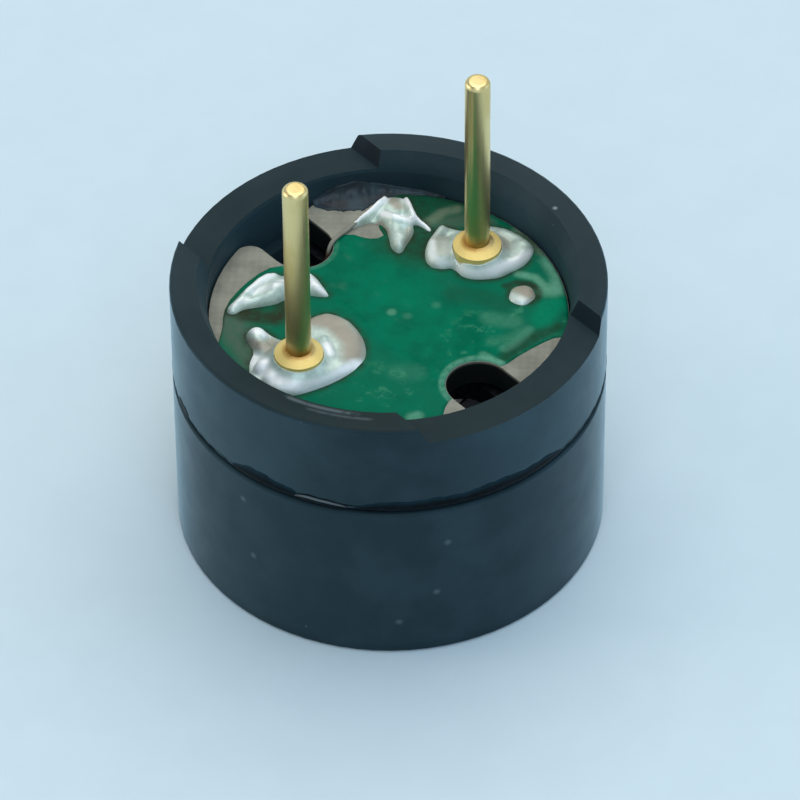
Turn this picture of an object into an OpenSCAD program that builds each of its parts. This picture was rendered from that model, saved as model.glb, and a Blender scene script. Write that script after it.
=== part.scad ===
// Magnetic buzzer: a 12 mm round sound transducer with two wire pins.
// The sound face lies on z = 0 and the pins point up, on the X axis.
// A coil on an iron core pulls a thin steel diaphragm, which a ring magnet
// holds against the end of the base ring. The board closes the back.

/* [Shells] */
// Outside diameter of both shells
body_d = 12; // [10:0.1:15]
// Height from the sound face to the top of the raised rim
body_h = 8.5; // [7:0.1:12]
// Height of the sound cap
cap_h = 5.35; // [4.4:0.05:6.5]
// Width of the joint between the two shells
seam_gap = 0.15; // [0.1:0.01:0.3]
// Depth of the adhesive below the outer wall, in the joint
seam_recess = 0.1; // [0.05:0.01:0.2]
// Wall of the sound cap round the base ring
cap_wall = 0.8; // [0.6:0.05:1]
// Thickness of the sound face
face_t = 0.8; // [0.5:0.05:1]
// Diameter of the sound hole
sound_hole_d = 2; // [1:0.1:3]
// Height of the ledge below the diaphragm
ledge_z = 2.2; // [2:0.05:2.6]
// Width of the ledge below the diaphragm
ledge_w = 0.5; // [0.3:0.05:0.8]
// Radius left on the outer edges of the shells
edge_r = 0.1; // [0.05:0.01:0.2]

/* [Rim] */
// Width of the rim round the board
rim_w = 1; // [0.9:0.05:1.3]
// Height of the raised rim above the board
rim_over_board = 1.35; // [1:0.05:2]
// Depth of the two vent gaps in the rim
vent_depth = 0.5; // [0.2:0.05:0.8]
// Width of the vent gaps at the bottom
vent_w = 6.2; // [4:0.1:7.5]
// How far each side of a vent gap leans outwards
vent_flare = 0.2; // [0:0.05:0.4]
// Width of the lead-in on the rim's inner edge
lead_in_w = 0.25; // [0.1:0.05:0.4]
// Height of the lead-in on the rim's inner edge
lead_in_h = 0.6; // [0.2:0.05:0.8]

/* [Board] */
// Thickness of the circuit board
board_t = 0.8; // [0.6:0.05:1]
// Width of the ledge that carries the board
board_ledge_w = 0.35; // [0.2:0.05:0.5]
// Width of the two notches
notch_w = 1.8; // [1.4:0.1:2.2]
// Distance from the axis to the round end of a notch
notch_reach = 2.8; // [2.6:0.05:3.4]
// Corner radius of the notch through which the coil ends come up
back_corner_r = 0.45; // [0.2:0.05:0.6]
// Corner radius of the other notch
front_corner_r = 0.15; // [0.1:0.05:0.6]
// Diameter of the plated hole
via_d = 0.7; // [0.5:0.05:0.9]
// Distance of the plated hole from the board's edge
via_inset = 1.15; // [1:0.05:1.5]
// Direction of the plated hole from the axis, in degrees
via_angle = -30; // [-40:1:-25]

/* [Pins] */
// Distance between the two pins
pin_pitch = 6.5; // [5.4:0.1:7.8]
// Diameter of a pin
pin_d = 0.7; // [0.5:0.05:0.8]
// Length of a pin above the raised rim
pin_reach = 5.3; // [3:0.1:9]
// Radius on the tip of a pin
pin_tip_r = 0.15; // [0.05:0.01:0.2]
// Diameter of the end of a pin's tapered tail, at the board's lower face
tail_end_d = 0.58; // [0.4:0.02:0.64]
// Diameter of a pin's collar
collar_d = 1.34; // [1.1:0.02:1.5]
// Height of the collar's straight side
collar_h = 0.62; // [0.4:0.02:0.8]
// Height of the collar's sloping shoulder
shoulder_h = 0.16; // [0.05:0.01:0.3]

/* [Solder] */
// Height of the solder on a pin's collar
pin_solder_h = 0.54; // [0.2:0.02:0.6]
// Radius of the solder round a pin
pin_solder_r = 1.2; // [0.9:0.05:1.4]
// Height of the solder on a coil end
coil_solder_h = 0.45; // [0.2:0.05:0.6]
// Height of the solder in the plated hole
via_solder_h = 0.22; // [0.1:0.02:0.4]

/* [Drive] */
// Thickness of the diaphragm
diaphragm_t = 0.08; // [0.05:0.01:0.12]
// Play between the diaphragm and the ledge
diaphragm_play = 0.1; // [0.05:0.01:0.2]
// Diameter of the armature disc
armature_d = 3.2; // [2.4:0.1:4]
// Thickness of the armature disc
armature_t = 0.35; // [0.2:0.05:0.5]
// Air gap between the diaphragm and the core
air_gap = 0.2; // [0.15:0.01:0.3]
// Diameter of the iron core
core_d = 1.8; // [1.4:0.1:2]
// Diameter of the core's riveted head
core_head_d = 2.4; // [2.2:0.1:3]
// Height of the core's riveted head
core_head_h = 0.12; // [0.08:0.01:0.16]
// Thickness of the yoke plate
yoke_t = 0.65; // [0.5:0.05:0.8]
// Gap between the yoke plate and the board
yoke_gap = 0.2; // [0.18:0.01:0.4]
// Width of the ledge that carries the yoke plate
yoke_ledge_w = 0.2; // [0.1:0.05:0.3]
// Width of the notches in the yoke plate
yoke_notch_w = 1.4; // [1:0.1:1.8]
// Diameter of the bobbin's flanges
bobbin_d = 5; // [4.4:0.1:5.2]
// Wall of the bobbin
bobbin_wall = 0.15; // [0.1:0.01:0.2]
// Thickness of a bobbin flange
flange_t = 0.2; // [0.15:0.01:0.3]
// How far the bobbin stays behind the end of the core
bobbin_setback = 0.15; // [0.05:0.01:0.3]
// How far the winding stays inside the flanges
winding_inset = 0.1; // [0.05:0.01:0.3]
// How far the magnet stays behind the end of the core
magnet_setback = 0.5; // [0.2:0.05:0.8]
// Diameter of the coil's enamelled wire ends
wire_d = 0.12; // [0.08:0.01:0.14]

/* [Fits] */
// Clearance round parts that drop in
drop_gap = 0.05; // [0.02:0.01:0.1]
// Clearance round parts that are bonded or riveted
bond_gap = 0.02; // [0.01:0.005:0.04]
// Clearance round the diaphragm
diaphragm_gap = 0.15; // [0.1:0.01:0.2]
// Space beside the bobbin for the coil ends
wire_gap = 0.2; // [0.16:0.01:0.3]

/* [Hidden] */
$fn = 96;

eps = 0.5;

// Radii of the shells
body_r = body_d / 2;
cap_bore_r = body_r - cap_wall;
spigot_r = cap_bore_r - drop_gap;
pocket_r = body_r - rim_w;
yoke_pocket_r = pocket_r - board_ledge_w;
magnet_bore_r = yoke_pocket_r - yoke_ledge_w;

// Levels, from the sound face up
diaphragm_z = ledge_z + diaphragm_play;
spigot_z = diaphragm_z + diaphragm_t;
core_z = spigot_z + air_gap;
shoulder_z = cap_h + seam_gap;
board_top_z = body_h - rim_over_board;
board_z = board_top_z - board_t;
yoke_top_z = board_z - yoke_gap;
yoke_z = yoke_top_z - yoke_t;
bobbin_z = core_z + bobbin_setback;
magnet_z = core_z + magnet_setback;
vent_z = body_h - vent_depth;

// Board, pins and pads
board_r = pocket_r - drop_gap;
pin_x = pin_pitch / 2;
via_at = (board_r - via_inset) * [cos(via_angle), sin(via_angle)];
solder_margin = 0.05;

// The notches' corner circles pass the board's edge by this much, and so cross it
corner_pass = 0.01;

// Each solder mound is [across, along, radius], measured from its own pin
pin_mounds_left = [[-0.05, 0.15, pin_solder_r], [1.1, 0.12, 1.12]];
pin_mounds_right = [[-0.4, 0.9, 0.8], [0.45, 0.05, 1.15]];
coil_mounds_left = [[0.85, 2.72, 0.72], [1.75, 2.62, 0.8], [2.3, 2.1, 0.5]];
coil_mounds_right = [[-0.8, 2.8, 0.9], [-1.2, 2.05, 0.5], [-0.25, 2.65, 0.5]];
small_mound = 0.7;

// Adhesive fillet between the board and the rim
fillet_from = 50;
fillet_turn = 22;
fillet_w = 0.33;
fillet_h = 0.3;
fillet_inner_r = pocket_r - bond_gap - fillet_w;

// Coil end: [across, beyond the notch's round end, above the board's top face]
bobbin_r = bobbin_d / 2;
wire_start_r = bobbin_r - winding_inset + wire_d / 2;
wire_reach = bobbin_r + wire_gap / 2;
yoke_notch_reach = wire_reach - wire_gap;
wire_bends = [[0.35, 0.25, -board_t], [0.42, 0.32, -0.1], [0.72, 0.42, 0.16]];
wire_across = 0.3;
wire_on_pad = 0.8;
wire_rest_angle = 120;
wire_rings = 4;
wire_sides = 8;

// Height of a dome of base radius r and height h, at distance d from its middle
function dome_r(r, h) = (r * r + h * h) / (2 * h);
function dome_z(r, h, d) = sqrt(pow(dome_r(r, h), 2) - d * d) - dome_r(r, h) + h;

// A smooth curve through four points, from b to c
function between(a, b, c, d, t) =
    0.5 * (2 * b + (c - a) * t + (2 * a - 5 * b + 4 * c - d) * t * t
        + (3 * b - a - 3 * c + d) * t * t * t);
function smooth(p, steps) = [
    for (i = [0:len(p) - 2], s = [0:steps - 1])
        between(p[max(i - 1, 0)], p[i], p[i + 1], p[min(i + 2, len(p) - 1)], s / steps),
    p[len(p) - 1]
];
function unit(v) = v / norm(v);
function mirrored(mound) = [-mound[0], mound[1], mound[2]];

// A round wire along a route, as rings of points joined by quads
module wire(route, d, sides) {
    aside = [0.5, -1, 0.3];
    last = len(route) - 1;
    ways = [for (i = [0:last]) unit(route[min(i + 1, last)] - route[max(i - 1, 0)])];
    points = [
        for (i = [0:last])
            let (u = unit(cross(ways[i], aside)), v = cross(ways[i], u))
                for (k = [0:sides - 1])
                    let (a = 360 * k / sides)
                        route[i] + d / 2 * (cos(a) * u + sin(a) * v)
    ];
    faces = concat(
        [[for (k = [0:sides - 1]) k]],
        [[for (k = [sides - 1:-1:0]) last * sides + k]],
        [for (i = [0:last - 1], k = [0:sides - 1])
            let (n = (k + 1) % sides)
                [i * sides + k, (i + 1) * sides + k, (i + 1) * sides + n, i * sides + n]]
    );
    polyhedron(points, faces);
}

// A ring with square edges
module ring(outer_r, inner_r, z, h) {
    translate([0, 0, z])
        difference() {
            cylinder(h = h, r = outer_r);
            translate([0, 0, -eps])
                cylinder(h = h + 2 * eps, r = inner_r);
        }
}

// Points of a quarter circle from angle a to angle b, round a centre
function arc(centre, r, a, b, steps = 6) = [
    for (i = [0:steps])
        centre + r * [cos(a + (b - a) * i / steps), sin(a + (b - a) * i / steps)]
];

// Sound cap: a cup with the sound hole in its face and a ledge in its bore
module sound_cap() {
    color([0.15, 0.18, 0.2])
        rotate_extrude()
            polygon(concat(
                [[sound_hole_d / 2, 0]],
                arc([body_r - edge_r, edge_r], edge_r, -90, 0),
                arc([body_r - edge_r, cap_h - edge_r], edge_r, 0, 90),
                [
                    [cap_bore_r, cap_h],
                    [cap_bore_r, ledge_z],
                    [cap_bore_r - ledge_w, ledge_z],
                    [cap_bore_r - ledge_w, face_t],
                    [sound_hole_d / 2, face_t]
                ]
            ));
}

// Base ring: the rim, the pockets for board and yoke, and the spigot
module base_ring() {
    color([0.15, 0.18, 0.2])
        difference() {
            rotate_extrude()
                polygon(concat(
                    [
                        [magnet_bore_r, spigot_z],
                        [spigot_r, spigot_z],
                        [spigot_r, shoulder_z]
                    ],
                    arc([body_r - edge_r, shoulder_z + edge_r], edge_r, -90, 0),
                    arc([body_r - edge_r, body_h - edge_r], edge_r, 0, 90),
                    [
                        [pocket_r + lead_in_w, body_h],
                        [pocket_r, body_h - lead_in_h],
                        [pocket_r, board_z],
                        [yoke_pocket_r, board_z],
                        [yoke_pocket_r, yoke_z],
                        [magnet_bore_r, yoke_z]
                    ]
                ));
            vent_gaps();
        }
}

// One straight channel across the rim makes both vent gaps
module vent_gaps() {
    top_w = vent_w + 2 * vent_flare * (vent_depth + eps) / vent_depth;
    translate([0, 0, vent_z])
        rotate([90, 0, 0])
            linear_extrude(height = 2 * body_d, center = true)
                polygon([
                    [-vent_w / 2, 0],
                    [vent_w / 2, 0],
                    [top_w / 2, vent_depth + eps],
                    [-top_w / 2, vent_depth + eps]
                ]);
}

// Adhesive in the joint between the shells
module seam_adhesive() {
    color([0.05, 0.06, 0.07])
        ring(body_r - seam_recess, cap_bore_r, cap_h, seam_gap);
}

module diaphragm() {
    color([0.72, 0.74, 0.76])
        translate([0, 0, diaphragm_z])
            cylinder(h = diaphragm_t, r = cap_bore_r - diaphragm_gap);
}

// Armature disc, welded under the diaphragm
module armature_disc() {
    color([0.6, 0.62, 0.64])
        translate([0, 0, diaphragm_z - armature_t])
            cylinder(h = armature_t, d = armature_d);
}

// Iron core, riveted over on the back of the yoke plate
module pole_core() {
    color([0.55, 0.56, 0.58])
        union() {
            translate([0, 0, core_z])
                cylinder(h = yoke_top_z - core_z, d = core_d);
            translate([0, 0, yoke_top_z])
                intersection() {
                    dome(core_head_d / 2, core_head_h);
                    cylinder(h = core_head_h, d = core_head_d);
                }
        }
}

module yoke_plate() {
    color([0.45, 0.47, 0.5])
        difference() {
            translate([0, 0, yoke_z])
                cylinder(h = yoke_t, r = yoke_pocket_r - drop_gap);
            translate([0, 0, yoke_z - eps])
                cylinder(h = yoke_t + 2 * eps, d = core_d + 2 * bond_gap);
            for (side = [0, 180])
                rotate([0, 0, side])
                    translate([0, 0, yoke_z - eps])
                        linear_extrude(height = yoke_t + 2 * eps)
                            slot(yoke_notch_w, yoke_notch_reach);
        }
}

module ring_magnet() {
    color([0.12, 0.12, 0.13])
        ring(magnet_bore_r - drop_gap, bobbin_r + wire_gap, magnet_z, yoke_z - magnet_z);
}

// Bobbin: a sleeve with a flange at each end
module coil_bobbin() {
    inner_r = core_d / 2 + drop_gap;
    color([0.85, 0.84, 0.78])
        union() {
            ring(inner_r + bobbin_wall, inner_r, bobbin_z, yoke_z - bobbin_z);
            ring(bobbin_r, inner_r, bobbin_z, flange_t);
            ring(bobbin_r, inner_r, yoke_z - flange_t, flange_t);
        }
}

module coil_winding() {
    color([0.72, 0.4, 0.2])
        ring(
            bobbin_r - winding_inset,
            core_d / 2 + drop_gap + bobbin_wall + bond_gap,
            bobbin_z + flange_t,
            yoke_z - bobbin_z - 2 * flange_t
        );
}

// One end of the coil's wire, from the winding to its pad on the +X side
module coil_lead(x, mound) {
    pad = [x + mound[0], mound[1]];
    rest_at = wire_on_pad * mound[2];
    rest_z = board_top_z + dome_z(mound[2], coil_solder_h, rest_at) + wire_d;
    rest = pad + rest_at * [cos(wire_rest_angle), sin(wire_rest_angle)];
    below_flange = yoke_z - flange_t - wire_d;
    route = smooth(concat(
        [
            [wire_across, wire_start_r, below_flange - flange_t],
            [wire_across, wire_start_r, below_flange],
            [wire_across, wire_reach, yoke_z - flange_t / 2],
            [wire_across, wire_reach, yoke_top_z]
        ],
        [for (b = wire_bends) [b[0], notch_reach + b[1], board_top_z + b[2]]],
        [concat(rest, [rest_z])]
    ), wire_rings);
    wire(route, wire_d, wire_sides);
}

module coil_lead_left() {
    color([0.7, 0.38, 0.18])
        mirror([1, 0, 0])
            coil_lead(pin_x, mirrored(coil_mounds_left[1]));
}

module coil_lead_right() {
    color([0.7, 0.38, 0.18])
        coil_lead(pin_x, coil_mounds_right[0]);
}

// A slot with a round inner end, open towards +Y
module slot(w, reach) {
    translate([0, reach + w / 2])
        circle(d = w);
    translate([-w / 2, reach + w / 2])
        square([w, body_r]);
}

// What a round corner of radius r takes off one side of a board notch
module corner_cut(r, inset) {
    side = notch_w / 2 + inset;
    rim = board_r - inset;
    at = [side + r, sqrt(pow(rim - r + corner_pass, 2) - pow(side + r, 2))];
    out = at * (rim + eps) / norm(at);
    difference() {
        polygon([[side - eps, at[1]], [side - eps, rim + eps], out, at]);
        translate(at)
            circle(r = r);
    }
}

// Outline of the board, pulled in by inset all round
module board_outline(inset = 0) {
    difference() {
        circle(r = board_r - inset);
        for (turn = [[0, back_corner_r], [180, front_corner_r]])
            rotate(turn[0]) {
                slot(notch_w + 2 * inset, notch_reach - inset);
                corner_cut(turn[1], inset);
                mirror([1, 0])
                    corner_cut(turn[1], inset);
            }
    }
}

module circuit_board() {
    color([0, 0.43, 0.31])
        difference() {
            translate([0, 0, board_z])
                linear_extrude(height = board_t)
                    board_outline();
            for (x = [-pin_x, pin_x])
                translate([x, 0, board_z - eps])
                    cylinder(h = board_t + 2 * eps, d = pin_d + 2 * drop_gap);
            translate([via_at[0], via_at[1], board_z - eps])
                cylinder(h = board_t + 2 * eps, d = via_d);
        }
}

// Fillet of adhesive between the board's edge and the rim
module board_adhesive() {
    color([0.1, 0.12, 0.14])
        rotate([0, 0, fillet_from])
            rotate_extrude(angle = fillet_turn)
                translate([fillet_inner_r, board_top_z])
                    polygon(concat(
                        [[0, 0], [fillet_w, 0]],
                        [for (a = [0:-18:-72]) [fillet_w * cos(a), fillet_h * (1 + sin(a))]]
                    ));
}

// Pin: a wire with a collar that sits on the board, and a tapered tail in its hole
module pin() {
    pin_r = pin_d / 2;
    collar_r = collar_d / 2;
    top = body_h + pin_reach;
    color([0.72, 0.62, 0.3])
        rotate_extrude()
            polygon(concat(
                [
                    [0, board_z],
                    [tail_end_d / 2, board_z],
                    [pin_r, board_top_z],
                    [collar_r, board_top_z],
                    [collar_r, board_top_z + collar_h],
                    [pin_r, board_top_z + collar_h + shoulder_h]
                ],
                arc([pin_r - pin_tip_r, top - pin_tip_r], pin_tip_r, 0, 90),
                [[0, top]]
            ));
}

module pin_left() {
    translate([-pin_x, 0, 0])
        pin();
}

module pin_right() {
    translate([pin_x, 0, 0])
        pin();
}

// A spherical cap of base radius r and height h, standing on z = 0
module dome(r, h) {
    intersection() {
        translate([0, 0, h - dome_r(r, h)])
            sphere(r = dome_r(r, h));
        translate([-r, -r, 0])
            cube([2 * r, 2 * r, h + eps]);
    }
}

// Keeps solder on the board's top face
module on_board() {
    intersection() {
        children();
        translate([0, 0, board_top_z])
            linear_extrude(height = 2)
                board_outline(solder_margin);
    }
}

// Solder round one pin's collar, with mounds that spread over the pad
module pin_solder(x, mounds) {
    inner_r = collar_d / 2 + bond_gap;
    color([0.78, 0.8, 0.8])
        on_board()
            translate([x, 0, board_top_z])
                difference() {
                    union() {
                        for (m = mounds)
                            translate([m[0], m[1], 0])
                                dome(m[2], pin_solder_h * m[2] / pin_solder_r);
                        collar_fillet(inner_r);
                    }
                    translate([0, 0, -eps])
                        cylinder(h = 2, r = inner_r);
                }
}

// Solder drawn up the side of a collar, hollow towards the board
module collar_fillet(inner_r) {
    run = pin_solder_r - inner_r;
    rotate_extrude()
        polygon(concat(
            [[0, 0], [0, pin_solder_h]],
            [for (i = [0:6])
                let (a = 180 + 15 * i)
                    [pin_solder_r + run * cos(a), pin_solder_h + pin_solder_h * sin(a)]]
        ));
}

module pin_solder_left() {
    pin_solder(-pin_x, pin_mounds_left);
}

module pin_solder_right() {
    pin_solder(pin_x, pin_mounds_right);
}

// Solder over one coil end, as mounds that run into each other inside the adhesive
module coil_solder(x, mounds) {
    color([0.78, 0.8, 0.8])
        on_board()
            intersection() {
                union() {
                    for (m = mounds)
                        translate([x + m[0], m[1], board_top_z])
                            dome(m[2], coil_solder_h * (m[2] < small_mound ? small_mound : 1));
                }
                cylinder(h = body_h, r = fillet_inner_r - bond_gap / 2);
            }
}

module coil_solder_left() {
    coil_solder(-pin_x, coil_mounds_left);
}

module coil_solder_right() {
    coil_solder(pin_x, coil_mounds_right);
}

// Solder that fills the plated hole and stands a little proud
module via_solder() {
    color([0.78, 0.8, 0.8])
        translate([via_at[0], via_at[1], 0])
            union() {
                translate([0, 0, board_z])
                    cylinder(h = board_t, d = via_d - 2 * bond_gap);
                translate([0, 0, board_top_z])
                    dome(via_d / 2 - bond_gap, via_solder_h);
            }
}

sound_cap();
base_ring();
seam_adhesive();
diaphragm();
armature_disc();
pole_core();
yoke_plate();
ring_magnet();
coil_bobbin();
coil_winding();
coil_lead_left();
coil_lead_right();
circuit_board();
board_adhesive();
pin_left();
pin_right();
pin_solder_left();
pin_solder_right();
coil_solder_left();
coil_solder_right();
via_solder();
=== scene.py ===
"""Looks of the magnetic buzzer: finish of every surface, the sculpted solder, and the studio."""

from math import cos, pi, radians, sin, sqrt

import bpy
import numpy as np
from mathutils import Matrix, Vector, geometry, noise


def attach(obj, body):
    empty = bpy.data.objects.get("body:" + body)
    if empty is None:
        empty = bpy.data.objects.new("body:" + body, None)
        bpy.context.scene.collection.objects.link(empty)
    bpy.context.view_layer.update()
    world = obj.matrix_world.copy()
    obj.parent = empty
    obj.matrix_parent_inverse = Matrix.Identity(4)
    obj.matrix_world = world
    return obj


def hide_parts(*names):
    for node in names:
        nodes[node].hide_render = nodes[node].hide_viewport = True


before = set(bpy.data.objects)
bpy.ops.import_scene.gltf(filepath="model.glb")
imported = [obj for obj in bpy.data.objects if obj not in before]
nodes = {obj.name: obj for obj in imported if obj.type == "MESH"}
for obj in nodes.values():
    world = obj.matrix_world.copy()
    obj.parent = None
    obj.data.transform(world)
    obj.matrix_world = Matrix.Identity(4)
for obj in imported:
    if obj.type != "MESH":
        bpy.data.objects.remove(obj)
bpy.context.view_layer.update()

MM = 0.001


def srgb(red, green, blue):
    """A colour written as 0 to 255, as the linear colour that shaders take."""
    def linear(value):
        value /= 255
        return value / 12.92 if value <= 0.04045 else ((value + 0.055) / 1.055) ** 2.4
    return (*map(linear, (red, green, blue)), 1.0)


# ------------ camera

CAMERA_AZIMUTH = -41.0      # degrees; 0 looks along +Y
CAMERA_ELEVATION = 44.18    # degrees
CAMERA_DISTANCE = 180.2     # mm, from the middle of the body
CAMERA_ASIDE = 0.285        # mm, to the right
CAMERA_DOWN = 0.274         # mm
CAMERA_ROLL = 0.48          # degrees
CAMERA_LENS = 292.0         # mm
CAMERA_SENSOR = 36          # mm
CAMERA_AIM_Z = 4.25         # mm, height of the point it looks at
CAMERA_CLIP = (10 * MM, 10)     # m, the nearest and farthest it sees


def add(name, data):
    """A new object in the scene."""
    made = bpy.data.objects.new(name, data)
    bpy.context.scene.collection.objects.link(made)
    return made


def make_camera():
    """The view of the photograph, through a long lens."""
    a = radians(CAMERA_AZIMUTH)
    e = radians(CAMERA_ELEVATION)
    roll = radians(CAMERA_ROLL)
    back = Vector((sin(a) * cos(e), -cos(a) * cos(e), sin(e)))
    right = Vector((cos(a), sin(a), 0))
    up = back.cross(right)
    place = Vector((0, 0, CAMERA_AIM_Z)) + CAMERA_DISTANCE * back
    place += CAMERA_ASIDE * right - CAMERA_DOWN * up
    x_axis = cos(roll) * right - sin(roll) * up
    y_axis = sin(roll) * right + cos(roll) * up
    data = bpy.data.cameras.new("camera")
    data.sensor_width = CAMERA_SENSOR
    data.lens = CAMERA_LENS
    data.clip_start, data.clip_end = CAMERA_CLIP
    camera = add("camera", data)
    turn = Matrix((x_axis, y_axis, back)).transposed().to_4x4()
    camera.matrix_world = Matrix.Translation(place * MM) @ turn
    bpy.context.scene.camera = camera


make_camera()


# ------------ materials

class Shader:
    """A Principled material that is built node by node."""

    def __init__(self, name, **values):
        self.material = bpy.data.materials.new(name)
        self.material.use_nodes = True
        self.tree = self.material.node_tree
        self.bsdf = self.tree.nodes["Principled BSDF"]
        self.colour = None
        self.set(**values)

    def node(self, kind, inputs=(), **settings):
        """A new node with its inputs and settings."""
        made = self.tree.nodes.new("ShaderNode" + kind)
        for key, value in settings.items():
            setattr(made, key, value)
        for key, value in dict(inputs).items():
            self.feed(made.inputs[key], value)
        return made

    def feed(self, socket, value):
        """Link another node's output to the socket, or set its value."""
        if isinstance(value, bpy.types.NodeSocket):
            self.tree.links.new(value, socket)
        else:
            socket.default_value = value

    def place(self):
        """Position in the row frame, in millimetres."""
        where = self.node("TexCoord").outputs["Object"]
        return self.node("VectorMath", {0: where, "Scale": 1 / MM}, operation="SCALE").outputs[0]

    def scaled(self, factors):
        """The position, each coordinate times its factor."""
        return self.node("VectorMath", {0: self.place(), 1: factors}, operation="MULTIPLY").outputs[0]

    def axes(self):
        """The three coordinates in millimetres, one socket each."""
        return self.node("SeparateXYZ", {"Vector": self.place()}).outputs

    def normal(self):
        """The way the surface faces, one socket for each axis."""
        facing = self.node("NewGeometry").outputs["Normal"]
        return self.node("SeparateXYZ", {"Vector": facing}).outputs

    def math(self, operation, a, b=0.0):
        """One operation on one or two values."""
        return self.node("Math", {0: a, 1: b}, operation=operation).outputs[0]

    def times(self, first, *others):
        """The product of the values."""
        for other in others:
            first = self.math("MULTIPLY", first, other)
        return first

    def along(self, x, y, way):
        """How far x, y goes that way."""
        return self.math("ADD", self.times(x, way[0]), self.times(y, way[1]))

    def noise(self, scale, detail, rough=0.55, stretch=(1, 1, 1)):
        """Noise with that many lumps in a millimetre, from 0 to 1."""
        at = self.scaled(stretch)
        inputs = {"Vector": at, "Scale": scale, "Detail": detail, "Roughness": rough}
        return self.node("TexNoise", inputs).outputs["Fac"]

    def ramp(self, value, low, high, to_low=0.0, to_high=1.0):
        """A smooth step from to_low to to_high as value goes from low to high."""
        inputs = enumerate((value, low, high, to_low, to_high))
        return self.node("MapRange", inputs, interpolation_type="SMOOTHSTEP").outputs[0]

    def mix(self, share, a, b):
        """Colour a, and colour b where share is 1."""
        return self.node("Mix", {"Factor": share, 6: a, 7: b}, data_type="RGBA").outputs[2]

    def tint(self, share, colour):
        """Lay a colour over the colour so far."""
        self.colour = self.mix(share, self.colour, colour)

    def spot(self, x, y, inner, outer, z=None):
        """1 within inner millimetres of a point, 0 beyond outer; seen from above if it has no z."""
        at = self.scaled((1, 1, 0 if z is None else 1))
        reach = self.node("VectorMath", {0: at, 1: (x, y, z or 0)}, operation="DISTANCE")
        return self.ramp(reach.outputs["Value"], inner, outer, 1.0, 0.0)

    def painted(self, name):
        """A finish that was painted on the piece's vertices, from 0 to 1."""
        return self.node("Attribute", attribute_name=name).outputs["Fac"]

    def specks(self, scale, size, share):
        """Small spots of dust: cells of 1/scale mm, of which a share hold a speck."""
        cells = self.node("TexVoronoi", {"Scale": scale, "Vector": self.place()})
        chosen = self.node("SeparateColor", {"Color": cells.outputs["Color"]}).outputs[0]
        near = self.ramp(cells.outputs["Distance"], size * 0.5, size, 1.0, 0.0)
        return self.times(near, self.math("LESS_THAN", chosen, share))

    def bump(self, height, depth_mm, normal=None):
        """Surface relief: height from 0 to 1 stands for that depth."""
        made = self.node("Bump", {"Strength": 1.0, "Distance": depth_mm * MM, "Height": height})
        if normal is not None:
            self.feed(made.inputs["Normal"], normal)
        return made.outputs["Normal"]

    def set(self, **sockets):
        """Feed the material's own sockets."""
        for key, value in sockets.items():
            self.feed(self.bsdf.inputs[key.replace("_", " ")], value)
        return self.material

    def finish(self, rough, relief):
        """The material, with the colour so far."""
        return self.set(Base_Color=self.colour, Roughness=rough, Normal=relief)


# Ways over the floor as the photograph shows them
AWAY = (0.66, 0.75)
RIGHTWARD = (0.755, -0.656)
LEFTWARD = (-0.755, 0.656)

WALL_R = 6.0                # mm, of the housing
BOARD_TOP = 7.15            # mm, the board's upper face
PIN_X = 3.25                # mm, of each pin
PIN_NEAR = (0.34, 0.5)      # mm from a pin's axis, on it and clear of it
COLLAR_END = (7.84, 7.9)    # mm, heights over which the collar's paler plating ends
WEAVE = 2 * pi / 0.3        # one crossing of the glass cloth every 0.3 mm
RIM_FROM = (7.9, 8.0)       # mm, heights over which the rim's finishes set in
# Colours laid over the plastic and the board, painted shade and painted light among them
FLUX = srgb(46, 50, 34)
SHEEN_TINT = (0.62, 0.87, 1.0, 1.0)
SCUFF = srgb(60, 78, 88)
# Painted shade for the rim's up-facing top
RIM_PAINTED_SHADE = srgb(30, 41, 38)
# Painted sheen on the upper shell's sides
WALL_PAINTED_SHEEN = srgb(124, 170, 188)
# Painted shade for the rim's step faces and the wall's lowest band
STEP_AND_FOOT_SHADE = srgb(6, 20, 28)
# Dust, also used for painted light on the rim's top and a painted highlight on the seam
DUST_AND_PAINTED_LIGHT = srgb(150, 165, 170)

# Specks of dust on the wall: azimuth from +X in degrees, height in mm
WALL_SPECKS = [(190, 2.5), (241, 2.25), (231, 1.2), (244, 4.1), (187, 4.5)]
# Pale bands on the rim, laid in dust colour: from and to in radians, radius, half width, share
RIM_PALE_BANDS = [
    (-2.85, -2.42, 5.36, 0.1, 0.26),
    (-2.72, -2.35, 5.52, 0.08, 0.15),
    (-1.9, -1.5, 5.3, 0.04, 0.2),
]
BAND_FADE = 0.05           # radians, at their ends
RIM_MARK = (5.31, -0.92)    # mm, a pale nick in the rim's top
# Pale specks in the green mask: x, y in mm, share
MASK_SPECKS = [(0.1, 0.0, 0.4), (0.32, -0.4, 0.15), (1.2, -0.6, 0.2)]
# Tints painted on the mask: residue and fresh mask, with painted shade, a painted shadow and painted
# highlights
MASK_FINISHES = {
    "shade": srgb(30, 70, 50),
    "residue": srgb(78, 102, 86),
    "painted_shadow": srgb(50, 54, 38),
    "fresh": srgb(0, 126, 92),
    "pale": srgb(104, 166, 138),
    "halo": srgb(102, 122, 100),
}
# Painted highlights: pale rings where the mask climbs over the copper's edge: (x, y), inner and outer
# radius, share
MASK_HIGHLIGHT_RINGS = [((0.0, -3.7), 0.93, 1.14, 0.6), ((0.0, 3.7), 0.95, 1.1, 0.3)]
RING_EDGE = 0.1             # mm, over which a ring fades


def around(radius, turn, z):
    """The point at that radius and turn, in radians round the axis from +X."""
    return (radius * cos(turn), radius * sin(turn), z)


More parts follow.
